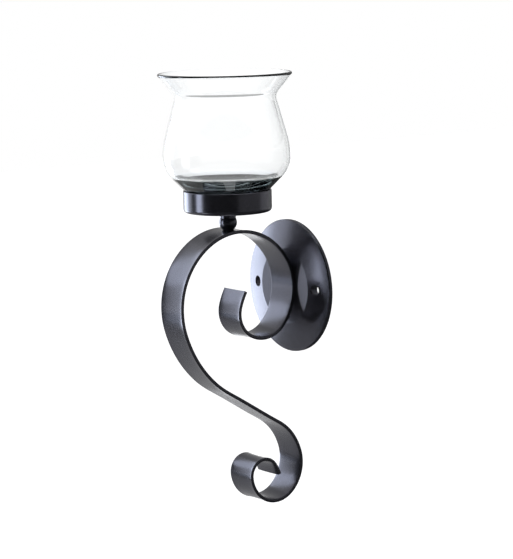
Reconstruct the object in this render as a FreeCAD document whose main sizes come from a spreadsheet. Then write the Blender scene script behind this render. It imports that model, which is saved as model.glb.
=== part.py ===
"""Scroll-arm wall candle sconce with a hurricane glass.

A flat steel bar is bent into one long scroll: a curl, a ring, an S and a lower scroll. The ring is
bolted to a round wall plate. A ball and a collar stand on top of the ring and carry a pan, and a
heavy-based glass stands in the pan. One countersunk screw holds ball, collar and pan to the bar.

Units are millimetres. +Z is up, X runs along the wall and +Y points into the wall. The origin is the
centre of the wall plate's back, midway between the two wall screws.
"""
import FreeCAD, Part
import os
import math
import Sketcher

Vector = FreeCAD.Vector
Constraint = Sketcher.Constraint

# ---------------------------------------------------------------------------------------------
# Driving dimensions
# ---------------------------------------------------------------------------------------------
SIZES = {
    # Wall plate
    "plate_radius": 48.4,
    "plate_disc_radius": 27.5,
    "plate_disc_height": 6.3,
    "plate_skirt": 2.6,
    "plate_edge_round": 0.7,
    "plate_shell": 1.8,
    "wall_screw_spacing": 68.4,
    "wall_screw_hole_radius": 3.6,
    "wall_screw_hole_chamfer": 0.5,
    "wall_screw_boss": 3.6,
    # Flat bar of the scroll
    "strap_width": 25.4,
    "strap_thickness": 2.5,
    "strap_bevel_on_face": 1.2,
    "strap_bevel_on_side": 0.3,
    # Bends of its centre line, from the wall plate down to the free end of the curl
    "ring_wall_radius": 38.5,
    "ring_wall_sweep_below": 44.5,
    "ring_foot_radius": 23.0,
    "ring_foot_sweep": 73.0,
    "curl_radius": 18.0,
    "curl_sweep": 80.0,
    "curl_end_radius": 50.5,
    "curl_end_sweep": 13.2,
    # Bends of its centre line, from the wall plate up, over the ring and down to the lower scroll
    "ring_wall_sweep_above": 26.0,
    "ring_crown_radius": 48.0,
    "ring_crown_sweep_front": 29.0,
    "ring_front_radius": 52.5,
    "ring_front_sweep": 77.5,
    "shank_radius": 84.5,
    "shank_sweep": 41.5,
    "shank_length": 51.5,
    "turn_radius": 41.5,
    "turn_sweep": 40.5,
    "scroll_back_radius": 27.5,
    "scroll_back_sweep": 64.0,
    "scroll_foot_radius": 21.0,
    "scroll_foot_sweep": 128.5,
    "scroll_tip_radius": 11.0,
    "scroll_tip_sweep": 149.0,
    "scroll_end_radius": 28.5,
    "scroll_end_sweep": 18.0,
    # M4 fasteners
    "thread_radius": 2.0,
    "thread_clearance": 0.03,
    "bolt_hole_clearance": 0.25,
    "washer_radius": 4.5,
    "washer_thickness": 0.8,
    "nut_across_flats": 7.0,
    "nut_height": 3.2,
    # Studs that join the bar to the plate
    "stud_spacing": 13.0,
    "stud_root_depth": 1.5,
    "stud_projection": 0.3,
    "arm_rise": 0.6,
    # Countersunk screw up through ball, collar and pan, and how far it stands in front of the ring's top
    "stack_ahead": 1.0,
    "screw_head_radius": 4.0,
    "screw_head_height": 2.0,
    "screw_slot_width": 1.0,
    "screw_slot_depth": 0.9,
    "screw_projection": 0.9,
    "head_clearance": 0.1,
    "pan_washer_radius": 6.0,
    "pan_washer_thickness": 1.0,
    # Ball and collar
    "ball_radius": 6.45,
    "ball_below": 5.2,
    "ball_above": 2.8,
    "collar_radius": 5.75,
    "collar_height": 4.9,
    "collar_chamfer": 0.4,
    # Pan
    "pan_radius": 31.7,
    "pan_height": 15.6,
    "pan_wall": 1.2,
    "pan_corner": 2.8,
    # Glass
    "glass_pan_clearance": 0.5,
    "glass_rim_drop": 1.1,
    "glass_wall": 2.2,
    "glass_foot_round": 5.0,
    "glass_punt_radius": 20.0,
    "glass_punt_height": 6.5,
    "glass_seat_round": 1.5,
    "glass_seat_slope": 45.0,
    "glass_slope_length": 13.0,
    "glass_belly_round": 20.0,
    "glass_shoulder_round": 60.0,
    "glass_shoulder_sweep": 15.5,
    "glass_shoulder_length": 25.4,
    "glass_neck_round": 6.0,
    "glass_flare_slope": 51.0,
    "glass_flare_length": 15.9,
    "glass_floor_round": 6.0,
    "glass_floor_dish": 10.0,
}

doc = FreeCAD.newDocument("candle_sconce")
sheet = doc.addObject("Spreadsheet::Sheet", "Sizes")
for row, (alias, value) in enumerate(SIZES.items(), start=1):
    sheet.set(f"A{row}", alias.replace("_", " "))
    sheet.set(f"B{row}", str(value))
    sheet.setAlias(f"B{row}", alias)
doc.recompute()

# Sizes that several pieces share, as expressions of the sheet's cells
STRAP_OUTSIDE = "Sizes.strap_thickness / 2"
BOLT_HOLE = "(Sizes.thread_radius + Sizes.bolt_hole_clearance)"
NUT_BORE = "(Sizes.thread_radius + Sizes.thread_clearance)"
STACK_BALL = "(Sizes.ball_below + Sizes.ball_above)"
STACK_COLLAR = f"({STACK_BALL} + Sizes.collar_height)"
STACK_FLOOR = f"({STACK_COLLAR} + Sizes.pan_wall)"
STACK_WASHER = f"({STACK_FLOOR} + Sizes.pan_washer_thickness)"
STACK_NUT = f"({STACK_WASHER} + Sizes.nut_height)"
GLASS_STEM = "(Sizes.pan_radius - Sizes.pan_wall - Sizes.glass_pan_clearance)"
STACK_Y = "(ring_crest.Y / 1 mm - Sizes.stack_ahead)"
CREST_Z = "(ring_crest.Z / 1 mm)"
TILT_ABOUT_X = FreeCAD.Rotation(Vector(1, 0, 0), -90)
SEAM_AT_TOP = FreeCAD.Rotation(Vector(0, 1, 0), -90)

# Edges are picked by points along them, to within this many millimetres
EDGE_SAMPLES = 7
NEAR = 0.01


def number(text):
    """The value of an expression of the sheet's cells, in millimetres or degrees."""
    value = sheet.evalExpression(text)
    return float(getattr(value, "Value", value))


def place(piece, x="0", y="0", z="0"):
    """Binds the place of a piece to the sheet."""
    piece.setExpression(".Placement.Base.x", x)
    piece.setExpression(".Placement.Base.y", y)
    piece.setExpression(".Placement.Base.z", z)


# ---------------------------------------------------------------------------------------------
# Sketch helpers
# ---------------------------------------------------------------------------------------------
def bind(sketch, constraint, text):
    """Adds a dimension to a sketch and binds it to the sheet."""
    index = sketch.addConstraint(constraint)
    sketch.setExpression(f"Constraints[{index}]", text)


def pin_point(sketch, geometry, point, across, up):
    """Fixes a point of a sketch by two expressions."""
    for kind, text in (("DistanceX", across), ("DistanceY", up)):
        bind(sketch, Constraint(kind, -1, 1, geometry, point, number(text)), text)


def add_arc(sketch, centre, radius, start_angle, turn):
    """Adds an arc that leaves start_angle and turns by turn, both in radians; left turns are positive."""
    low, high = sorted((start_angle, start_angle + turn))
    circle = Part.Circle(Vector(centre[0], centre[1], 0), Vector(0, 0, 1), radius)
    index = sketch.addGeometry(Part.ArcOfCircle(circle, low, high))
    entry, leave = (1, 2) if turn > 0 else (2, 1)
    return index, entry, leave


class Route:
    """A run of tangent lines and arcs in a sketch, each bound to the sheet."""

    def __init__(self, sketch, across, up, heading):
        self.sketch = sketch
        self.start = (across, up)
        self.at = Vector(number(across), number(up), 0)
        self.heading = math.radians(heading)
        self.first = None
        self.last = None

    def join(self, index, entry, leave, centred):
        """Ties a new element to the one before it, or to the start of the route."""
        if self.last is not None:
            self.sketch.addConstraint(Constraint("Tangent", self.last[0], self.last[1], index, entry))
        else:
            self.first = (index, entry)
            pin_point(self.sketch, index, entry, *self.start)
            level = abs(math.sin(self.heading)) < 0.5
            if centred:
                kind = "Vertical" if level else "Horizontal"
                self.sketch.addConstraint(Constraint(kind, index, 3, index, entry))
            else:
                self.sketch.addConstraint(Constraint("Horizontal" if level else "Vertical", index))
        self.last = (index, leave)

    def line(self, length):
        """Runs straight on."""
        span = number(length)
        finish = self.at + Vector(math.cos(self.heading), math.sin(self.heading), 0) * span
        index = self.sketch.addGeometry(Part.LineSegment(self.at, finish))
        self.join(index, 1, 2, False)
        bind(self.sketch, Constraint("Distance", index, span), length)
        self.at = finish

    def bend(self, radius, sweep, side):
        """Turns about a centre on the left (side 1) or on the right (side -1) of the route."""
        size = number(radius)
        turn = math.radians(number(sweep)) * side
        normal = self.heading + side * math.pi / 2
        centre = self.at + Vector(math.cos(normal), math.sin(normal), 0) * size
        index, entry, leave = add_arc(self.sketch, centre, size, normal - math.pi, turn)
        self.join(index, entry, leave, True)
        bind(self.sketch, Constraint("Radius", index, size), radius)
        bind(self.sketch, Constraint("Angle", index, abs(turn)), f"({sweep}) * 1 deg")
        self.heading += turn
        normal += turn
        self.at = centre - Vector(math.cos(normal), math.sin(normal), 0) * size

    def left(self, radius, sweep):
        self.bend(radius, sweep, 1)

    def right(self, radius, sweep):
        self.bend(radius, sweep, -1)


def add_corners(sketch, corners):
    """Adds straight edges through corners that are pairs of expressions, as one open run."""
    points = [Vector(number(across), number(up), 0) for across, up in corners]
    first = None
    for (begin, finish), corner in zip(zip(points, points[1:]), corners):
        index = sketch.addGeometry(Part.LineSegment(begin, finish))
        pin_point(sketch, index, 1, *corner)
        if first is None:
            first = index
        else:
            sketch.addConstraint(Constraint("Coincident", index - 1, 2, index, 1))
    pin_point(sketch, index, 2, *corners[-1])
    return first, index


def close_between(sketch, leave, entry):
    """Adds a straight edge from the end of one element to the start of another."""
    begin = sketch.getPoint(*leave)
    finish = sketch.getPoint(*entry)
    index = sketch.addGeometry(Part.LineSegment(begin, finish))
    sketch.addConstraint(Constraint("Coincident", leave[0], leave[1], index, 1))
    sketch.addConstraint(Constraint("Coincident", index, 2, entry[0], entry[1]))
    return index


def add_cap(sketch, leave, entry, centre_height):
    """Adds an arc about a centre on the vertical axis, between two points that are fixed already."""
    begin = sketch.getPoint(*leave)
    finish = sketch.getPoint(*entry)
    centre = (0.0, centre_height)
    radius = math.hypot(begin.x, begin.y - centre_height)
    start_angle = math.atan2(begin.y - centre_height, begin.x)
    turn = math.atan2(finish.y - centre_height, finish.x) - start_angle
    index, first, last = add_arc(sketch, centre, radius, start_angle, turn)
    sketch.addConstraint(Constraint("Coincident", index, first, leave[0], leave[1]))
    sketch.addConstraint(Constraint("Coincident", index, last, entry[0], entry[1]))
    sketch.addConstraint(Constraint("PointOnObject", index, 3, -2))
    return index


def cap_centre(inner, outer):
    """Height on the axis that is as far from one (radius, height) point as from the other."""
    return (outer[0] ** 2 + outer[1] ** 2 - inner[0] ** 2 - inner[1] ** 2) / (2 * (outer[1] - inner[1]))


def body_sketch(body, name, plane_role):
    """Adds a sketch on one of a body's own origin planes."""
    sketch = body.newObject("Sketcher::SketchObject", name)
    plane = next(item for item in body.Origin.OriginFeatures if item.Role == plane_role)
    sketch.AttachmentSupport = [(plane, "")]
    sketch.MapMode = "FlatFace"
    doc.recompute()
    return sketch


def revolve(body, sketch):
    """Turns a body's sketch about the sketch's vertical axis."""
    turned = body.newObject("PartDesign::Revolution", sketch.Name + "_turned")
    turned.Profile = sketch
    turned.ReferenceAxis = (sketch, ["V_Axis"])
    turned.Angle = 360
    sketch.Visibility = False
    return turned


def new_body(label):
    body = doc.addObject("PartDesign::Body", label)
    body.Label = label
    return body


# ---------------------------------------------------------------------------------------------
# Part helpers
# ---------------------------------------------------------------------------------------------
def cylinder(name, radius, height):
    solid = doc.addObject("Part::Cylinder", name)
    solid.setExpression("Radius", radius)
    solid.setExpression("Height", height)
    return solid


def cone(name, low_radius, high_radius, height):
    solid = doc.addObject("Part::Cone", name)
    solid.setExpression("Radius1", low_radius)
    solid.setExpression("Radius2", high_radius)
    solid.setExpression("Height", height)
    return solid


def cut(name, base, *tools):
    """Cuts one tool, or the union of several, out of a base."""
    tool = tools[0]
    if len(tools) > 1:
        tool = doc.addObject("Part::MultiFuse", name + "_tools")
        tool.Shapes = list(tools)
    result = doc.addObject("Part::Cut", name)
    result.Base = base
    result.Tool = tool
    return result


def washer(name, outer_radius, thickness):
    """A flat washer on the M4 thread, standing on its own origin."""
    disc = cylinder(name + "_disc", outer_radius, thickness)
    hole = cylinder(name + "_hole", BOLT_HOLE, thickness)
    return cut(name, disc, hole)


def hex_nut(name):
    """An M4 nut, standing on its own origin."""
    prism = doc.addObject("Part::Prism", name + "_prism")
    prism.Polygon = 6
    prism.setExpression("Circumradius", "Sizes.nut_across_flats / 2 / cos(30 deg)")
    prism.setExpression("Height", "Sizes.nut_height")
    hole = cylinder(name + "_bore", NUT_BORE, "Sizes.nut_height")
    return cut(name, prism, hole)


def pair(label, make, height):
    """Two equal pieces on the studs' axes, as one group of separate solids.

    height is the distance from the wall to the piece's end that faces the bar.
    """
    sides = []
    for side, sign in (("left", "-"), ("right", "")):
        piece = make(f"{label}_{side}")
        piece.Placement.Rotation = TILT_ABOUT_X
        place(piece, f"{sign}Sizes.stud_spacing / 2", f"-({height})", "Sizes.arm_rise")
        sides.append(piece)
    group = doc.addObject("Part::Compound", label)
    group.Links = sides
    return group


# ---------------------------------------------------------------------------------------------
# Wall plate
# ---------------------------------------------------------------------------------------------
PLATE_SEAT = "(Sizes.plate_disc_height - Sizes.plate_shell)"


def turned_about_wall_normal(name, corners, cap_from, cap_to):
    """Turns a closed outline about the Y axis. One stretch of it is a dome between two corners.

    The corners are (radius, distance from the wall) and the outline starts and ends on the axis.
    """
    sketch = doc.addObject("Sketcher::SketchObject", name + "_outline")
    points = [(across, f"-({up})") for across, up in corners]
    first, rim = add_corners(sketch, points[:cap_from + 1])
    outer, last = add_corners(sketch, points[cap_to:])
    inner_value = [number(text) for text in points[cap_from]]
    outer_value = [number(text) for text in points[cap_to]]
    add_cap(sketch, (rim, 2), (outer, 1), cap_centre(inner_value, outer_value))
    close_between(sketch, (last, 2), (first, 1))
    turned = doc.addObject("Part::Revolution", name)
    turned.Source = sketch
    turned.Axis = Vector(0, 1, 0)
    turned.Base = Vector(0, 0, 0)
    turned.Angle = 360
    turned.Solid = True
    turned.Placement.Rotation = SEAM_AT_TOP
    return turned


def wall_plate():
    """Cast plate: flat centre disc, dome, short skirt, hollow back and a boss round each wall screw."""
    outside = turned_about_wall_normal(
        "plate_outside",
        [
            ("0", "Sizes.plate_disc_height"),
            ("Sizes.plate_disc_radius", "Sizes.plate_disc_height"),
            ("Sizes.plate_radius - Sizes.plate_edge_round", "Sizes.plate_skirt"),
            ("Sizes.plate_radius", "Sizes.plate_skirt - Sizes.plate_edge_round"),
            ("Sizes.plate_radius", "0"),
            ("0", "0"),
        ],
        1,
        2,
    )
    inside_radius = "Sizes.plate_radius - Sizes.plate_shell"
    inside = turned_about_wall_normal(
        "plate_inside",
        [
            ("0", PLATE_SEAT),
            ("Sizes.plate_disc_radius", PLATE_SEAT),
            (inside_radius, "Sizes.plate_skirt - Sizes.plate_edge_round - Sizes.plate_shell / 2"),
            (inside_radius, "0"),
            ("0", "0"),
        ],
        1,
        2,
    )
    bosses = []
    holes = []
    for side, sign in (("left", "-"), ("right", "")):
        across = f"{sign}Sizes.wall_screw_spacing / 2"
        boss = cylinder(
            f"boss_{side}",
            "Sizes.wall_screw_hole_radius + Sizes.wall_screw_boss",
            "Sizes.plate_disc_height",
        )
        hole = cylinder(f"wall_hole_{side}", "Sizes.wall_screw_hole_radius", "Sizes.plate_disc_height")
        stud_hole = cylinder(f"stud_hole_{side}", BOLT_HOLE, "Sizes.plate_disc_height")
        for solid in (boss, hole, stud_hole):
            solid.Placement.Rotation = TILT_ABOUT_X
        place(boss, across, "-Sizes.plate_disc_height")
        place(hole, across, "-Sizes.plate_disc_height")
        place(stud_hole, f"{sign}Sizes.stud_spacing / 2", "-Sizes.plate_disc_height", "Sizes.arm_rise")
        bosses.append(boss)
        holes.extend((hole, stud_hole))
    hollow = cut("plate_hollow", inside, *bosses)
    shell = cut("plate_shell", outside, hollow)
    drilled = cut("plate_drilled", shell, *holes)
    doc.recompute()
    plate = doc.addObject("Part::Chamfer", "wall_plate")
    plate.Base = drilled
    chamfer = number("Sizes.wall_screw_hole_chamfer")
    plate.Edges = [(index, chamfer, chamfer) for index in front_hole_edges(drilled.Shape)]
    return plate


def front_hole_edges(shape):
    """Numbers of the edges where the wall screws' holes meet the front of the dome."""
    radius = number("Sizes.wall_screw_hole_radius")
    middle = number("Sizes.wall_screw_spacing") / 2
    found = []
    for index, edge in enumerate(shape.Edges, start=1):
        points = edge.discretize(EDGE_SAMPLES)
        from_axis = [math.hypot(abs(point.x) - middle, point.z) for point in points]
        on_hole = all(abs(distance - radius) < NEAR for distance in from_axis)
        if on_hole and all(point.y < -NEAR for point in points):
            found.append(index)
    return found


# ---------------------------------------------------------------------------------------------
# Scroll strap
# ---------------------------------------------------------------------------------------------
def outside_of(name):
    """Radius of the bar's outer face where the bar bends round the ring's centre."""
    return f"Sizes.{name} + {STRAP_OUTSIDE}"


def inside_of(name):
    """Radius of the same face where the bar bends the other way, in the lower scroll."""
    return f"Sizes.{name} - {STRAP_OUTSIDE}"


def scroll_face_sketch():
    """The bar's outer face seen along X: two routes that leave the wall plate, one down and one up."""
    sketch = doc.addObject("Sketcher::SketchObject", "scroll_face")
    contact = ("-Sizes.plate_disc_height", "Sizes.arm_rise")
    down = Route(sketch, *contact, -90)
    down.right(outside_of("ring_wall_radius"), "Sizes.ring_wall_sweep_below")
    down.right(outside_of("ring_foot_radius"), "Sizes.ring_foot_sweep")
    down.right(outside_of("curl_radius"), "Sizes.curl_sweep")
    down.right(outside_of("curl_end_radius"), "Sizes.curl_end_sweep")
    up = Route(sketch, *contact, 90)
    up.left(outside_of("ring_wall_radius"), "Sizes.ring_wall_sweep_above")
    up.left(outside_of("ring_crown_radius"), "90 - Sizes.ring_wall_sweep_above")
    crest = Vector(up.at)
    up.left(outside_of("ring_crown_radius"), "Sizes.ring_crown_sweep_front")
    up.left(outside_of("ring_front_radius"), "Sizes.ring_front_sweep")
    up.left(outside_of("shank_radius"), "Sizes.shank_sweep")
    up.line("Sizes.shank_length")
    up.right(inside_of("turn_radius"), "Sizes.turn_sweep")
    up.right(inside_of("scroll_back_radius"), "Sizes.scroll_back_sweep")
    up.right(inside_of("scroll_foot_radius"), "Sizes.scroll_foot_sweep")
    up.right(inside_of("scroll_tip_radius"), "Sizes.scroll_tip_sweep")
    up.right(inside_of("scroll_end_radius"), "Sizes.scroll_end_sweep")
    sketch.Placement = FreeCAD.Placement(Vector(), FreeCAD.Rotation(Vector(1, 1, 1), 120))
    return sketch, crest


def crest_point():
    """The highest point of the ring's outer face, as a point of the document."""
    wall = "(Sizes.ring_wall_radius + Sizes.strap_thickness / 2)"
    crown = "(Sizes.ring_crown_radius + Sizes.strap_thickness / 2)"
    rise = "(Sizes.ring_wall_sweep_above * 1 deg)"
    point = doc.addObject("Part::Vertex", "ring_crest")
    point.setExpression("Y", f"-Sizes.plate_disc_height - {wall} * (1 - cos({rise})) - {crown} * cos({rise})")
    point.setExpression("Z", f"Sizes.arm_rise + {wall} * sin({rise}) + {crown} * (1 - sin({rise}))")
    return point


def scroll_strap(face):
    """The bar: its outer face thickened inwards, extruded to its width, bevelled, with screw and stud holes."""
    section = doc.addObject("Part::Offset2D", "scroll_section")
    section.Source = face
    section.Mode = "Skin"
    section.Join = "Arc"
    section.Fill = True
    section.setExpression("Value", "-Sizes.strap_thickness")
    bar = doc.addObject("Part::Extrusion", "scroll_bar")
    bar.Base = section
    bar.DirMode = "Custom"
    bar.Dir = Vector(1, 0, 0)
    bar.Solid = True
    bar.Symmetric = True
    bar.setExpression("LengthFwd", "Sizes.strap_width")
    doc.recompute()
    bevelled = doc.addObject("Part::Chamfer", "scroll_bevelled")
    bevelled.Base = bar
    bevel = (number("Sizes.strap_bevel_on_face"), number("Sizes.strap_bevel_on_side"))
    bevelled.Edges = [(index, *bevel) for index in side_edges(bar.Shape)]
    screw_hole = cylinder("strap_screw_hole", BOLT_HOLE, "Sizes.strap_thickness")
    place(screw_hole, "0", STACK_Y, f"{CREST_Z} - Sizes.strap_thickness")
    countersink = cone(
        "strap_countersink",
        "Sizes.screw_head_radius + Sizes.head_clearance",
        "Sizes.thread_radius + Sizes.head_clearance",
        "Sizes.screw_head_height",
    )
    place(countersink, "0", STACK_Y, f"{CREST_Z} - Sizes.strap_thickness")
    sockets = []
    for side, sign in (("left", "-"), ("right", "")):
        socket = cylinder(f"stud_socket_{side}", "Sizes.thread_radius", "Sizes.stud_root_depth")
        socket.Placement.Rotation = TILT_ABOUT_X
        depth = "-Sizes.plate_disc_height - Sizes.stud_root_depth"
        place(socket, f"{sign}Sizes.stud_spacing / 2", depth, "Sizes.arm_rise")
        sockets.append(socket)
    return cut("scroll_strap", bevelled, screw_hole, countersink, *sockets)


def side_edges(shape):
    """Numbers of the long edges of the bar, which lie in its two side faces."""
    half = number("Sizes.strap_width") / 2
    thickness = number("Sizes.strap_thickness")
    found = []
    for index, edge in enumerate(shape.Edges, start=1):
        points = edge.discretize(EDGE_SAMPLES)
        in_side = all(abs(abs(point.x) - half) < NEAR for point in points)
        if in_side and edge.Length > thickness + NEAR:
            found.append(index)
    return found


# ---------------------------------------------------------------------------------------------
# Studs, washers and nuts behind the plate
# ---------------------------------------------------------------------------------------------
def arm_fasteners():
    nut_back = f"{PLATE_SEAT} - Sizes.washer_thickness - Sizes.nut_height"
    stud_foot = "Sizes.plate_disc_height + Sizes.stud_root_depth"
    stud_length = f"{stud_foot} - ({nut_back}) + Sizes.stud_projection"
    washer_place = PLATE_SEAT
    nut_place = f"{PLATE_SEAT} - Sizes.washer_thickness"
    return [
        pair("arm_studs", lambda name: cylinder(name, "Sizes.thread_radius", stud_length), stud_foot),
        pair(
            "arm_washers",
            lambda name: washer(name, "Sizes.washer_radius", "Sizes.washer_thickness"),
            washer_place,
        ),
        pair("arm_nuts", hex_nut, nut_place),
    ]


# ---------------------------------------------------------------------------------------------
# What stands on the top of the ring
# ---------------------------------------------------------------------------------------------
def stand_on_ring(piece, height="0"):
    place(piece, "0", STACK_Y, f"{CREST_Z} + {height}")
    return piece


def ball_spacer():
    """Turned ball with two flats and a bore for the screw."""
    body = new_body("ball_spacer")
    sketch = body_sketch(body, "ball_outline", "XZ_Plane")
    below = "sqrt(Sizes.ball_radius ^ 2 - Sizes.ball_below ^ 2)"
    above = "sqrt(Sizes.ball_radius ^ 2 - Sizes.ball_above ^ 2)"
    lower, lower_end = add_corners(sketch, [(BOLT_HOLE, "0"), (below, "0")])
    upper, upper_end = add_corners(sketch, [(above, STACK_BALL), (BOLT_HOLE, STACK_BALL)])
    add_cap(sketch, (lower_end, 2), (upper, 1), number("Sizes.ball_below"))
    close_between(sketch, (upper_end, 2), (lower, 1))
    revolve(body, sketch)
    return stand_on_ring(body)


def pan_collar():
    """Short turned collar between ball and pan, its upper and lower edges broken."""
    body = new_body("pan_collar")
    sketch = body_sketch(body, "collar_outline", "XZ_Plane")
    inner = "Sizes.collar_radius - Sizes.collar_chamfer"
    first, last = add_corners(
        sketch,
        [
            (BOLT_HOLE, "0"),
            (inner, "0"),
            ("Sizes.collar_radius", "Sizes.collar_chamfer"),
            ("Sizes.collar_radius", "Sizes.collar_height - Sizes.collar_chamfer"),
            (inner, "Sizes.collar_height"),
            (BOLT_HOLE, "Sizes.collar_height"),
        ],
    )
    close_between(sketch, (last, 2), (first, 1))
    revolve(body, sketch)
    return stand_on_ring(body, STACK_BALL)


def candle_pan():
    """Drawn cup: flat floor with a screw hole, round corner, straight wall, rounded rim."""
    body = new_body("candle_pan")
    sketch = body_sketch(body, "pan_outline", "XZ_Plane")
    wall = Route(sketch, BOLT_HOLE, "0", 0)
    floor_run = f"Sizes.pan_radius - Sizes.pan_corner - {BOLT_HOLE}"
    wall_run = "Sizes.pan_height - Sizes.pan_corner - Sizes.pan_wall / 2"
    wall.line(floor_run)
    wall.left("Sizes.pan_corner", "90")
    wall.line(wall_run)
    wall.left("Sizes.pan_wall / 2", "180")
    wall.line(wall_run)
    wall.right("Sizes.pan_corner - Sizes.pan_wall", "90")
    wall.line(floor_run)
    close_between(sketch, wall.last, wall.first)
    revolve(body, sketch)
    return stand_on_ring(body, STACK_COLLAR)


def pan_screw():
    """Countersunk M4 screw with a slotted head, flush under the bar, thread up through the pan."""
    shank_length = f"Sizes.strap_thickness + {STACK_NUT} + Sizes.screw_projection"
    shank = cylinder("pan_screw_shank", "Sizes.thread_radius", shank_length)
    head = cone(
        "pan_screw_head",
        "Sizes.screw_head_radius",
        "Sizes.thread_radius",
        "Sizes.screw_head_height",
    )
    slot = doc.addObject("Part::Box", "pan_screw_slot")
    slot.setExpression("Length", "2 * Sizes.screw_head_radius")
    slot.setExpression("Width", "Sizes.screw_slot_width")
    slot.setExpression("Height", "Sizes.screw_slot_depth")
    under = f"{CREST_Z} - Sizes.strap_thickness"
    place(shank, "0", STACK_Y, under)
    place(head, "0", STACK_Y, under)
    place(slot, "-Sizes.screw_head_radius", f"{STACK_Y} - Sizes.screw_slot_width / 2", under)
    blank = doc.addObject("Part::Fuse", "pan_screw_blank")
    blank.Base = shank
    blank.Tool = head
    return cut("pan_screw", blank, slot)


def pan_washer():
    piece = washer("pan_washer", "Sizes.pan_washer_radius", "Sizes.pan_washer_thickness")
    return stand_on_ring(piece, STACK_FLOOR)


def pan_nut():
    return stand_on_ring(hex_nut("pan_nut"), STACK_WASHER)


# ---------------------------------------------------------------------------------------------
# Glass
# ---------------------------------------------------------------------------------------------
def glass_hurricane():
    """Blown glass: domed foot, stem inside the pan, slope, belly, shoulder, neck and flared lip.

    One run of tangent lines and arcs climbs the outside, turns over the lip and comes down the inside
    at the wall's thickness, to a thick, slightly dished floor.
    """
    body = new_body("glass_hurricane")
    sketch = body_sketch(body, "glass_outline", "XZ_Plane")
    wall = "Sizes.glass_wall"
    belly_sweep = "90 - Sizes.glass_seat_slope"
    neck_sweep = "90 + Sizes.glass_shoulder_sweep - Sizes.glass_flare_slope"
    foot_radius = f"{GLASS_STEM} - Sizes.glass_foot_round"
    stem_height = "Sizes.pan_height - Sizes.pan_wall - Sizes.glass_rim_drop - Sizes.glass_foot_round"
    glass = Route(sketch, "Sizes.glass_punt_radius", "0", 0)
    glass.line(f"{foot_radius} - Sizes.glass_punt_radius")
    glass.left("Sizes.glass_foot_round", "90")
    glass.line(stem_height)
    glass.right("Sizes.glass_seat_round", "90 - Sizes.glass_seat_slope")
    glass.line("Sizes.glass_slope_length")
    glass.left("Sizes.glass_belly_round", belly_sweep)
    glass.left("Sizes.glass_shoulder_round", "Sizes.glass_shoulder_sweep")
    glass.line("Sizes.glass_shoulder_length")
    glass.right("Sizes.glass_neck_round", neck_sweep)
    glass.line("Sizes.glass_flare_length")
    glass.left(f"{wall} / 2", "180")
    glass.line("Sizes.glass_flare_length")
    glass.left(f"Sizes.glass_neck_round + {wall}", neck_sweep)
    glass.line("Sizes.glass_shoulder_length")
    glass.right(f"Sizes.glass_shoulder_round - {wall}", "Sizes.glass_shoulder_sweep")
    glass.right(f"Sizes.glass_belly_round - {wall}", belly_sweep)
    glass.right("Sizes.glass_floor_round", "Sizes.glass_seat_slope - Sizes.glass_floor_dish")
    floor_end = dished_floor(sketch, glass, "Sizes.glass_floor_dish")
    top = sketch.getPoint(*floor_end)
    base = sketch.addGeometry(Part.LineSegment(top, Vector(0, number("Sizes.glass_punt_height"), 0)))
    sketch.addConstraint(Constraint("Coincident", base, 1, *floor_end))
    pin_point(sketch, base, 2, "0", "Sizes.glass_punt_height")
    punt_top = (0.0, number("Sizes.glass_punt_height"))
    punt_edge = (number("Sizes.glass_punt_radius"), 0.0)
    add_cap(sketch, (base, 2), glass.first, cap_centre(punt_top, punt_edge))
    revolve(body, sketch)
    return stand_on_ring(body, STACK_FLOOR)


def dished_floor(sketch, route, sweep):
    """Ends a route on the vertical axis, with an arc whose centre is on that axis."""
    turn = math.radians(number(sweep))
    radius = route.at.x / math.sin(turn)
    normal = route.heading - math.pi / 2
    centre = (0.0, route.at.y + radius * math.sin(normal))
    index, entry, leave = add_arc(sketch, centre, radius, normal - math.pi, -turn)
    sketch.addConstraint(Constraint("Tangent", *route.last, index, entry))
    sketch.addConstraint(Constraint("PointOnObject", index, 3, -2))
    sketch.addConstraint(Constraint("PointOnObject", index, leave, -2))
    return index, leave


# ---------------------------------------------------------------------------------------------
# The whole sconce
# ---------------------------------------------------------------------------------------------
def build():
    face, crest = scroll_face_sketch()
    point = crest_point()
    doc.recompute()
    drift = math.hypot(point.Y.Value - crest.x, point.Z.Value - crest.y)
    if drift > 0.001:
        raise RuntimeError(f"the ring's crest is {drift} mm off the bar")
    pieces = [wall_plate(), scroll_strap(face)]
    pieces += arm_fasteners()
    pieces += [ball_spacer(), pan_collar(), candle_pan()]
    pieces += [pan_screw(), pan_washer(), pan_nut(), glass_hurricane()]
    return pieces


def check(pieces):
    """Stops before anything is written if the document has a failed object or a bad shape."""
    for item in doc.Objects:
        if "Invalid" in item.State or "Error" in item.State:
            raise RuntimeError(f"{item.Name} failed: {item.State}")
    for piece in pieces:
        if piece.Shape.isNull() or not piece.Shape.isValid():
            raise RuntimeError(f"{piece.Label} has no valid shape")
        print(f"{piece.Label}: {len(piece.Shape.Solids)} solid, {piece.Shape.Volume:.1f} mm3")


sub_parts = build()
doc.recompute()
check(sub_parts)
os.makedirs("parts", exist_ok=True)
for sub_part in sub_parts:
    sub_part.Shape.exportStep(f"parts/{sub_part.Label}.step")
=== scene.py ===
"""Wall candle sconce: painted scroll arm on a round plate, with a clear hurricane glass."""
import math
import bmesh
import bpy
from mathutils import Matrix, Vector


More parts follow.
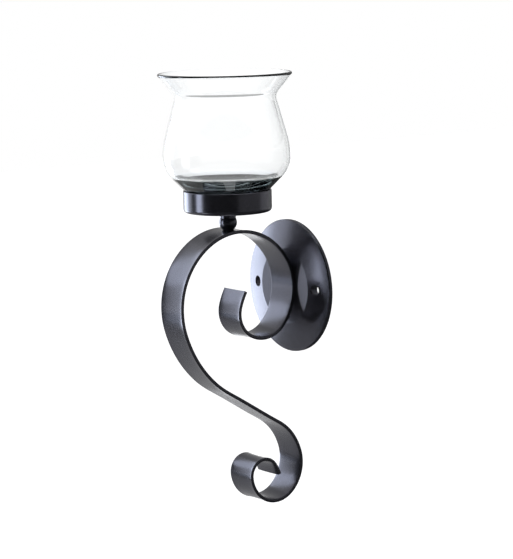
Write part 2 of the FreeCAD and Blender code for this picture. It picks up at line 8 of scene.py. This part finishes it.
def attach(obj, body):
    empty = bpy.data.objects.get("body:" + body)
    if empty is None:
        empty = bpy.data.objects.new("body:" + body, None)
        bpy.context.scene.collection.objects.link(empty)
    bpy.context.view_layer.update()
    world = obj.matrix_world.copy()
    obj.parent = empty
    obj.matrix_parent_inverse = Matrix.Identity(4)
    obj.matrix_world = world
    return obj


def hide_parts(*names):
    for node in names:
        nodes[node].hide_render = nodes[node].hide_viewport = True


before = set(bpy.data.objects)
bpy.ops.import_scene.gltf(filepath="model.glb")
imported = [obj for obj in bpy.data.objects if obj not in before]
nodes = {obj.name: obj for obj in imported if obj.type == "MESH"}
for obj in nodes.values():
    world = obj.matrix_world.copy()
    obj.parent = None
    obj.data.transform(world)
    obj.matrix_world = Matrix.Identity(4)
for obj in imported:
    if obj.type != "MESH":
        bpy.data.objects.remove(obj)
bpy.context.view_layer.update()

# Camera, as fitted to the photograph, in metres and degrees
CAMERA_PLACE = (1.373423, -1.035575, 0.248965)
CAMERA_AZIMUTH = 53.8322
CAMERA_ELEVATION = 8.0879
CAMERA_ROLL = 1.2688
CAMERA_LENS_MM = 153.40
CAMERA_SENSOR_MM = 36.0

WHITE = (1.0, 1.0, 1.0, 1.0)
MILLIMETRE = 0.001


# ---------------------------------------------------------------------------------------------
# Material helpers
# ---------------------------------------------------------------------------------------------
def new_material(name):
    """A material with its node tree and its Principled shader."""
    material = bpy.data.materials.new(name)
    material.use_nodes = True
    return material, material.node_tree, material.node_tree.nodes["Principled BSDF"]


def link(tree, source, output, target, socket):
    tree.links.new(source.outputs[output], target.inputs[socket])


def grey(value):
    return (value, value, value)


def object_noise(tree, scale, detail):
    """Noise that is fixed to the object, with its scale in waves a metre."""
    place = tree.nodes.new("ShaderNodeTexCoord")
    noise = tree.nodes.new("ShaderNodeTexNoise")
    noise.inputs["Scale"].default_value = scale
    noise.inputs["Detail"].default_value = detail
    link(tree, place, "Object", noise, "Vector")
    return noise


def colour_by_noise(tree, noise, stops, shader, socket):
    """Sets a shader's socket by noise, between two stops of (position, colour)."""
    ramp = tree.nodes.new("ShaderNodeValToRGB")
    for element, (position, colour) in zip(ramp.color_ramp.elements, stops):
        element.position = position
        element.color = (*colour, 1.0)
    link(tree, noise, "Fac", ramp, "Fac")
    link(tree, ramp, "Color", shader, socket)


def bump_by_noise(tree, noise, strength, distance, shader):
    bump = tree.nodes.new("ShaderNodeBump")
    bump.inputs["Strength"].default_value = strength
    bump.inputs["Distance"].default_value = distance
    link(tree, noise, "Fac", bump, "Height")
    link(tree, bump, "Normal", shader, "Normal")


def dress(node, material):
    """Gives a CAD node its material."""
    mesh = nodes[node].data
    mesh.materials.clear()
    mesh.materials.append(material)


# ---------------------------------------------------------------------------------------------
# Materials: noise is (waves a metre, detail), stops are (noise value, colour or roughness)
# ---------------------------------------------------------------------------------------------
PAINT_METALLIC = 0.92
PAINT_IOR = 1.5
PAINT_MOTTLE = (90.0, 4.0)
PAINT_TONES = [(0.35, (0.101, 0.101, 0.118)), (0.65, (0.109, 0.109, 0.129))]
PAINT_GLOSS = (260.0, 3.0)
PAINT_ROUGHNESS = [(0.3, grey(0.19)), (0.7, grey(0.22))]
PAINT_PEEL = (1400.0, 2.0)
PEEL_STRENGTH = 0.004
PEEL_HEIGHT = 0.0001

ZINC_CLOUD = (900.0, 3.0)
ZINC_TONES = [(0.3, (0.52, 0.52, 0.50)), (0.7, (0.66, 0.66, 0.62))]
ZINC_ROUGHNESS = [(0.3, grey(0.32)), (0.7, grey(0.46))]

GLASS_IOR = 1.5
GLASS_ABSORPTION = (0.65, 0.69, 0.70, 1.0)
GLASS_DENSITY = 64.0


def gunmetal_paint():
    """Semi-gloss dark metallic paint with a fine orange peel and slightly uneven gloss."""
    material, tree, shader = new_material("gunmetal_paint")
    shader.inputs["Metallic"].default_value = PAINT_METALLIC
    shader.inputs["IOR"].default_value = PAINT_IOR
    colour_by_noise(tree, object_noise(tree, *PAINT_MOTTLE), PAINT_TONES, shader, "Base Color")
    colour_by_noise(tree, object_noise(tree, *PAINT_GLOSS), PAINT_ROUGHNESS, shader, "Roughness")
    bump_by_noise(tree, object_noise(tree, *PAINT_PEEL), PEEL_STRENGTH, PEEL_HEIGHT, shader)
    return material


def zinc_plate():
    """Zinc-plated steel of the fasteners."""
    material, tree, shader = new_material("zinc_plate")
    shader.inputs["Metallic"].default_value = 1.0
    cloud = object_noise(tree, *ZINC_CLOUD)
    colour_by_noise(tree, cloud, ZINC_TONES, shader, "Base Color")
    colour_by_noise(tree, cloud, ZINC_ROUGHNESS, shader, "Roughness")
    return material


def clear_glass():
    """Clear glass, faintly blue-grey in the thick."""
    material, tree, shader = new_material("clear_glass")
    shader.inputs["Base Color"].default_value = WHITE
    shader.inputs["Roughness"].default_value = 0.0
    shader.inputs["IOR"].default_value = GLASS_IOR
    shader.inputs["Transmission Weight"].default_value = 1.0
    absorption = tree.nodes.new("ShaderNodeVolumeAbsorption")
    absorption.inputs["Color"].default_value = GLASS_ABSORPTION
    absorption.inputs["Density"].default_value = GLASS_DENSITY
    link(tree, absorption, "Volume", tree.nodes["Material Output"], "Volume")
    return material


# ---------------------------------------------------------------------------------------------
# Mesh helpers
# ---------------------------------------------------------------------------------------------
SHARP_ANGLE = math.radians(35.0)
HOLE_STEPS = 64
# Y of the upright axis that the screw, ball, collar, pan and glass share, in millimetres
STACK_AXIS = -55.589


def new_piece(name, points, faces, material):
    """A closed mesh object; the points are in millimetres."""
    mesh = bpy.data.meshes.new(name)
    mesh.from_pydata([point * MILLIMETRE for point in points], [], faces)
    mesh.materials.append(material)
    piece = bpy.data.objects.new(name, mesh)
    bpy.context.scene.collection.objects.link(piece)
    face_outwards(mesh)
    return piece


def face_outwards(mesh):
    work = bmesh.new()
    work.from_mesh(mesh)
    bmesh.ops.recalc_face_normals(work, faces=work.faces)
    work.to_mesh(mesh)
    work.free()


def walk(place, angle, runs, longest, fewest, side):
    """Steps along bends of (radius, degrees) and straight runs of (None, length).

    Each step gives its end, the heading there and the run's radius. A positive radius turns left
    where the side is 1 and right where it is -1.
    """
    for radius, amount in runs:
        if radius is None:
            steps = max(fewest, math.ceil(amount / longest))
            turn = 0.0
            chord = amount / steps
        else:
            sweep = math.radians(amount)
            steps = max(fewest, math.ceil(abs(radius) * sweep / longest))
            turn = side * math.copysign(sweep / steps, radius)
            chord = 2 * abs(radius) * math.sin(sweep / steps / 2)
        for _ in range(steps):
            angle += turn / 2
            place = place + Vector((math.cos(angle), math.sin(angle))) * chord
            angle += turn / 2
            yield place, angle, radius


def turned_mesh(outline, centre, steps):
    """Points and faces of an outline of (radius, height) turned round a vertical axis, ends closed."""
    points = []
    for index in range(steps):
        around = 2 * math.pi * index / steps
        for radius, height in outline:
            points.append(centre + Vector((radius * math.cos(around), radius * math.sin(around), height)))
    count = len(outline)
    faces = []
    for index in range(steps):
        here = index * count
        beyond = (index + 1) % steps * count
        for row in range(count - 1):
            faces.append((here + row, beyond + row, beyond + row + 1, here + row + 1))
    faces.append(tuple(index * count for index in range(steps)))
    faces.append(tuple(index * count + count - 1 for index in range(steps)))
    return points, faces


def drill(piece, outline, place):
    """Cuts an upright turned hole into a piece, at a place in the (Y, Z) plane."""
    points, faces = turned_mesh(outline, Vector((0.0, *place)), HOLE_STEPS)
    cutter = new_piece("cutter", points, faces, piece.data.materials[0])
    boolean = piece.modifiers.new("hole", "BOOLEAN")
    boolean.operation = "DIFFERENCE"
    boolean.solver = "EXACT"
    boolean.object = cutter
    bpy.context.view_layer.update()
    dependencies = bpy.context.evaluated_depsgraph_get()
    cut_mesh = bpy.data.meshes.new_from_object(piece.evaluated_get(dependencies))
    piece.modifiers.clear()
    piece.data = cut_mesh
    bpy.data.objects.remove(cutter)


# ---------------------------------------------------------------------------------------------
# The bar of the scroll, in millimetres: its outer face is laid out from where it meets the plate
# ---------------------------------------------------------------------------------------------
BAR_WIDTH = 25.4
BAR_THICKNESS = 2.5
BAR_CORNER = 0.28
BAR_CONTACT = (-6.3, 0.6)
BAR_STEP = 1.5
CORNER_STEPS = 4
# Bends as (radius, sweep); a positive radius turns round the ring's side, None runs straight on
BAR_DOWN = [(39.75, 44.5), (24.25, 73.0), (19.25, 80.0), (51.75, 13.2)]
BAR_UP = [
    (39.75, 26.0), (49.25, 93.0), (53.75, 77.5), (85.75, 41.5), (None, 51.5),
    (-40.25, 40.5), (-26.25, 64.0), (-19.75, 128.5), (-9.75, 149.0), (-27.25, 18.0),
]
# Bending lifts the bar's edges away from the bend's centre: a curl at the edge and a faint cup
EDGE_CURL = 0.28
EDGE_CURL_REACH = 2.2
BAR_CUP = 0.0027
# The curl changes over so many stations, and fades out where the bar lies on the plate
CURL_BLEND = 8
CONTACT_FLAT = 10.0
# Columns of the bar's faces, as distances from its corners inwards
FACE_STEPS = (0.0, 0.12, 0.4, 0.8, 1.3, 1.9, 2.7, 3.8, 5.4, 7.6, 10.2)
# Screw hole and countersink through the ring's top, as (radius, height from the top) pairs
TOP_HOLE = [(4.1, -3.5), (4.1, -2.5), (2.25, -0.65), (2.25, 1.0)]
TOP_HOLE_PLACE = (STACK_AXIS, 45.685)


def walk_bar(bends, heading, side):
    """Stations along the bar's outer face: place in the (Y, Z) plane, outward normal, sense of bend."""
    stations = []
    start = Vector(BAR_CONTACT)
    for place, angle, radius in walk(start, math.radians(heading), bends, BAR_STEP, 1, side):
        outward = Vector((math.sin(angle), -math.cos(angle))) * side
        sense = 0.0 if radius is None else math.copysign(1.0, radius)
        stations.append((place, outward, sense))
    return stations


def bar_stations():
    """All stations from the curl's free end to the lower scroll's, with the edges' curl at each."""
    down = walk_bar(BAR_DOWN, -90.0, -1)
    up = walk_bar(BAR_UP, 90.0, 1)
    towards_wall = Vector((1.0, 0.0))
    route = down[::-1] + [(Vector(BAR_CONTACT), towards_wall, 1.0)] + up
    stations = []
    for index, (place, outward, _) in enumerate(route):
        near = [sense for _, _, sense in route[max(0, index - CURL_BLEND):index + CURL_BLEND + 1]]
        from_contact = abs(index - len(down)) * BAR_STEP
        fade = min(1.0, max(0.0, from_contact - CONTACT_FLAT) / CONTACT_FLAT)
        stations.append((place, outward, sum(near) / len(near) * fade))
    return stations


def edge_lift(across):
    """How far the bar's face stands out at a distance from its middle."""
    from_edge = BAR_WIDTH / 2 - abs(across)
    return EDGE_CURL * math.exp(-from_edge / EDGE_CURL_REACH) + BAR_CUP * across * across / 2


def bar_section():
    """Points once round the bar's section as (across, depth under the outer face)."""
    half = BAR_WIDTH / 2 - BAR_CORNER
    right = [(0.0, 0.0)] + [(half - step, 0.0) for step in reversed(FACE_STEPS)]
    for index in range(1, CORNER_STEPS + 1):
        angle = math.pi / 2 * index / CORNER_STEPS
        right.append((half + BAR_CORNER * math.sin(angle), BAR_CORNER * (1 - math.cos(angle))))
    right += [(across, BAR_THICKNESS - depth) for across, depth in reversed(right)]
    left = [(-across, depth) for across, depth in reversed(right[1:-1])]
    return right + left


def make_bar(material):
    stations = bar_stations()
    section = bar_section()
    points = []
    for place, outward, curl in stations:
        for across, depth in section:
            at = place + outward * (curl * edge_lift(across) - depth)
            points.append(Vector((across, at.x, at.y)))
    count = len(section)
    last = (len(stations) - 1) * count
    faces = []
    for row in range(0, last, count):
        for column in range(count):
            start = row + column
            beside = row + (column + 1) % count
            faces.append((start, beside, beside + count, start + count))
    faces.append(tuple(reversed(range(count))))
    faces.append(tuple(range(last, last + count)))
    bar = new_piece("scroll_bar", points, faces, material)
    drill(bar, TOP_HOLE, TOP_HOLE_PLACE)
    bar.data.shade_smooth()
    bar.data.set_sharp_from_angle(angle=SHARP_ANGLE)
    return bar


# ---------------------------------------------------------------------------------------------
# The glass, in millimetres: one outline up the outside, over the lip and down the inside
# ---------------------------------------------------------------------------------------------
GLASS_FOOT = (STACK_AXIS, 59.785)
PUNT_RADIUS = 20.0
PUNT_HEIGHT = 6.5
FLOOR_DISH = math.radians(10.0)
# Runs as (radius, amount): a positive radius turns left by so many degrees, None runs straight on
GLASS_RUNS = [
    (None, 5.0), (5.0, 90.0), (None, 8.3), (-1.5, 45.0), (None, 13.0), (20.0, 45.0),
    (60.0, 15.5), (None, 25.4), (-6.0, 54.5), (None, 15.9), (1.1, 180.0), (None, 15.9),
    (8.2, 54.5), (None, 25.4), (-57.8, 15.5), (-17.8, 45.0), (-6.0, 35.0),
]
GLASS_STEP = 1.0
RUN_STEPS = 8
DOME_STEPS = 16
# The outline stops this far from the axis, where a small face closes it
AXIS_RADIUS = 0.15
GLASS_ROUND_STEPS = 288


def dome(edge, ball, centre, upright):
    """Points from an edge to the axis on a ball of that radius: a dome, or a dish where upright is -1."""
    first = math.asin(edge.x / ball)
    last = math.asin(AXIS_RADIUS / ball)
    leans = [first + (last - first) * index / DOME_STEPS for index in range(1, DOME_STEPS + 1)]
    return [Vector((ball * math.sin(lean), centre + upright * ball * math.cos(lean))) for lean in leans]


def glass_outline():
    """The whole outline as (radius, height), from the punt's top round to the middle of the floor."""
    start = Vector((PUNT_RADIUS, 0.0))
    steps = walk(start, 0.0, GLASS_RUNS, GLASS_STEP, RUN_STEPS, 1)
    walls = [start] + [place for place, _, _ in steps]
    punt_ball = (PUNT_RADIUS ** 2 + PUNT_HEIGHT ** 2) / (2 * PUNT_HEIGHT)
    punt = dome(start, punt_ball, PUNT_HEIGHT - punt_ball, 1)
    floor_edge = walls[-1]
    floor_ball = floor_edge.x / math.sin(FLOOR_DISH)
    floor = dome(floor_edge, floor_ball, floor_edge.y + floor_ball * math.cos(FLOOR_DISH), -1)
    return punt[::-1] + walls + floor


def make_glass(material):
    points, faces = turned_mesh(glass_outline(), Vector((0.0, *GLASS_FOOT)), GLASS_ROUND_STEPS)
    piece = new_piece("hurricane_glass", points, faces, material)
    piece.data.shade_smooth()
    return piece


# ---------------------------------------------------------------------------------------------
# Studio, in metres and degrees. Azimuth turns from the left end of the wall (-X) towards the room
# (-Y), elevation is above the level of the object's centre
# ---------------------------------------------------------------------------------------------
OBJECT_CENTRE = Vector((0.0, -0.05, 0.0))
WORLD_LIGHT = 0.45
# What the walls of the glass take from the white behind them, given back
GLASS_LIFT = 0.22

FLOOR_HEIGHT = -0.55
FLOOR_HALF_SIDE = 6.0
FLOOR_COLOUR = (0.9, 0.9, 0.9, 1.0)
FLOOR_ROUGHNESS = 0.8
FLOOR_GLOW = 0.7

LAMP_DISTANCE = 1.6
LAMP_COLOUR = (0.78, 0.86, 1.0)
# Lamps as (name, azimuths, elevations, radiance)
LAMPS = [
    ("key_softbox", (-3, 23), (-20, 15), 5.0),
    ("key_high", (-3, 40), (15, 34), 1.9),
    ("key_edge", (23, 37), (-20, 15), 1.0),
    ("strip_softbox", (58, 74), (-24, 14), 3.8),
]

CARD_DISTANCE = 3.0
CARD_STEP = 5.0
CARD_COLOUR = (0.01, 0.01, 0.01, 1.0)
# Cards round the object as (name, azimuths, elevations, glow, seen through glass)
CARDS = [
    ("card_left", (39, 57), (-10, 15), 0.1, False),
    ("card_left_high", (41, 72), (12, 33), 0.0, False),
    ("card_front", (77, 172), (-10, 7), 0.0, False),
    ("card_right", (172, 312), (-10, 7), 0.18, False),
    ("card_front_high", (72, 200), (7, 50), 0.0, False),
    ("card_right_high", (200, 312), (7, 50), 0.3, True),
    ("card_back_high", (312, 353), (5, 50), 0.45, True),
    ("card_above", (-7, 67), (34, 50), 0.6, True),
    ("card_ceiling", (0, 360), (50, 89), 0.6, False),
    ("card_glass_left", (-12, 38), (-10, 41), 0.75, True),
    ("card_glass_right", (240, 292), (-10, 7), 0.8, True),
]
# Cards on the floor as (name, azimuths, distances from under the object's centre, glow)
FLOOR_CARDS = [
    ("floor_card_front", (60, 320), (0.1, 3.0), 0.05),
    ("floor_card_right", (69, 86), (0.75, 1.35), 2.5),
    ("floor_card_left", (-44, 60), (0.25, 1.05), 0.5),
    ("floor_card_edge", (-25, 60), (1.05, 1.5), 0.35),
    ("floor_card_far", (22, 60), (1.5, 3.0), 0.1),
]
FLOOR_CARD_LIFT = 0.002


def seen_white(tree):
    """A node and its output that is 1 for rays from the camera, off gloss and through glass."""
    path = tree.nodes.new("ShaderNodeLightPath")
    total, output = path, "Is Camera Ray"
    for ray in ("Is Glossy Ray", "Is Transmission Ray"):
        larger = tree.nodes.new("ShaderNodeMath")
        larger.operation = "MAXIMUM"
        link(tree, total, output, larger, 0)
        link(tree, path, ray, larger, 1)
        total, output = larger, "Value"
    return total, output


def make_world():
    """A plain soft light, and white for the rays that see the background."""
    world = bpy.data.worlds.new("studio")
    world.use_nodes = True
    tree = world.node_tree
    tree.nodes.clear()
    light = tree.nodes.new("ShaderNodeBackground")
    light.inputs["Color"].default_value = WHITE
    light.inputs["Strength"].default_value = WORLD_LIGHT
    white = tree.nodes.new("ShaderNodeBackground")
    white.inputs["Color"].default_value = WHITE
    path = tree.nodes.new("ShaderNodeLightPath")
    strength = tree.nodes.new("ShaderNodeMath")
    strength.operation = "MULTIPLY_ADD"
    strength.inputs[1].default_value = GLASS_LIFT
    strength.inputs[2].default_value = 1.0
    link(tree, path, "Is Transmission Ray", strength, 0)
    link(tree, strength, "Value", white, "Strength")
    mix = tree.nodes.new("ShaderNodeMixShader")
    factor, factor_output = seen_white(tree)
    link(tree, factor, factor_output, mix, "Fac")
    link(tree, light, "Background", mix, 1)
    link(tree, white, "Background", mix, 2)
    world_output = tree.nodes.new("ShaderNodeOutputWorld")
    link(tree, mix, "Shader", world_output, "Surface")
    bpy.context.scene.world = world


def direction(azimuth, elevation):
    """Unit vector from the object's centre into the studio."""
    around = math.radians(azimuth)
    up = math.radians(elevation)
    return Vector((-math.cos(around) * math.cos(up), -math.sin(around) * math.cos(up), math.sin(up)))


def add_softbox(name, azimuths, elevations, radiance):
    """A rectangular lamp that faces the object and fills a window of the studio."""
    low, high = (LAMP_DISTANCE * math.tan(math.radians(angle)) for angle in elevations)
    half_angle = (azimuths[1] - azimuths[0]) / 2
    width = 2 * LAMP_DISTANCE * math.tan(math.radians(half_angle))
    lamp = bpy.data.lights.new(name, "AREA")
    lamp.shape = "RECTANGLE"
    lamp.size = width
    lamp.size_y = high - low
    lamp.energy = radiance * math.pi * width * (high - low)
    lamp.color = LAMP_COLOUR
    holder = bpy.data.objects.new(name, lamp)
    bpy.context.scene.collection.objects.link(holder)
    ahead = direction(azimuths[0] + half_angle, 0)
    holder.location = OBJECT_CENTRE + ahead * LAMP_DISTANCE + Vector((0, 0, (low + high) / 2))
    holder.rotation_mode = "QUATERNION"
    holder.rotation_quaternion = (-ahead).to_track_quat("-Z", "Y")
    holder.visible_camera = False
    holder.visible_transmission = False


def azimuth_steps(azimuths):
    first, last = azimuths
    count = math.ceil((last - first) / CARD_STEP)
    return [first + (last - first) * index / count for index in range(count + 1)]


def add_card(name, azimuths, elevations, glow, through_glass):
    """A curved card round the studio, seen in reflections and perhaps through glass."""
    points = []
    for azimuth in azimuth_steps(azimuths):
        for elevation in elevations:
            points.append(OBJECT_CENTRE + direction(azimuth, elevation) * CARD_DISTANCE)
    card_from_points(name, points, glow, through_glass)


def add_floor_card(name, azimuths, distances, glow):
    """A part of a ring on the floor round the object, which only reflections see."""
    points = []
    for azimuth in azimuth_steps(azimuths):
        for distance in distances:
            place = OBJECT_CENTRE + direction(azimuth, 0) * distance
            points.append(Vector((place.x, place.y, FLOOR_HEIGHT + FLOOR_CARD_LIFT)))
    card_from_points(name, points, glow, False)


def card_from_points(name, points, glow, through_glass):
    """A strip of faces through pairs of points, dark but for its glow."""
    faces = [(i, i + 2, i + 3, i + 1) for i in range(0, len(points) - 2, 2)]
    mesh = bpy.data.meshes.new(name)
    mesh.from_pydata(points, [], faces)
    card = bpy.data.objects.new(name, mesh)
    bpy.context.scene.collection.objects.link(card)
    material, _, shader = new_material(name)
    shader.inputs["Base Color"].default_value = CARD_COLOUR
    shader.inputs["Roughness"].default_value = 1.0
    shader.inputs["Emission Color"].default_value = WHITE
    shader.inputs["Emission Strength"].default_value = glow
    mesh.materials.append(material)
    card.visible_camera = False
    card.visible_diffuse = False
    card.visible_transmission = through_glass
    card.visible_shadow = False


def make_floor():
    """A white floor that keeps the object's shadow."""
    mesh = bpy.data.meshes.new("studio_floor")
    far = FLOOR_HALF_SIDE
    corners = [(-far, -far), (far, -far), (far, far), (-far, far)]
    mesh.from_pydata([(x, y, FLOOR_HEIGHT) for x, y in corners], [], [(0, 1, 2, 3)])
    floor = bpy.data.objects.new("studio_floor", mesh)
    bpy.context.scene.collection.objects.link(floor)
    material, tree, shader = new_material("studio_white")
    shader.inputs["Base Color"].default_value = FLOOR_COLOUR
    shader.inputs["Roughness"].default_value = FLOOR_ROUGHNESS
    shader.inputs["Emission Color"].default_value = WHITE
    glow = tree.nodes.new("ShaderNodeMath")
    glow.operation = "MULTIPLY"
    glow.inputs[1].default_value = FLOOR_GLOW
    factor, factor_output = seen_white(tree)
    link(tree, factor, factor_output, glow, 0)
    link(tree, glow, "Value", shader, "Emission Strength")
    mesh.materials.append(material)


def make_camera():
    data = bpy.data.cameras.new("photo_camera")
    data.lens = CAMERA_LENS_MM
    data.sensor_width = CAMERA_SENSOR_MM
    camera = bpy.data.objects.new("photo_camera", data)
    bpy.context.scene.collection.objects.link(camera)
    round_z = Matrix.Rotation(math.radians(CAMERA_AZIMUTH), 4, "Z")
    tilt = Matrix.Rotation(math.radians(90.0 - CAMERA_ELEVATION), 4, "X")
    roll = Matrix.Rotation(math.radians(-CAMERA_ROLL), 4, "Z")
    camera.matrix_world = Matrix.Translation(CAMERA_PLACE) @ round_z @ tilt @ roll
    bpy.context.scene.camera = camera


# ---------------------------------------------------------------------------------------------
# The scene
# ---------------------------------------------------------------------------------------------
paint = gunmetal_paint()
for name in ("wall_plate", "ball_spacer", "pan_collar", "candle_pan"):
    dress(name, paint)
zinc = zinc_plate()
for name in ("arm_studs", "arm_washers", "arm_nuts", "pan_screw", "pan_washer", "pan_nut"):
    dress(name, zinc)

bar = make_bar(paint)
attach(bar, "sconce")
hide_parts("scroll_strap")

hurricane = make_glass(clear_glass())
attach(hurricane, "glass")
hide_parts("glass_hurricane")

make_camera()
make_world()
make_floor()
for lamp in LAMPS:
    add_softbox(*lamp)
for card in CARDS:
    add_card(*card)
for card in FLOOR_CARDS:
    add_floor_card(*card)

bpy.context.scene.view_settings.view_transform = "Standard"
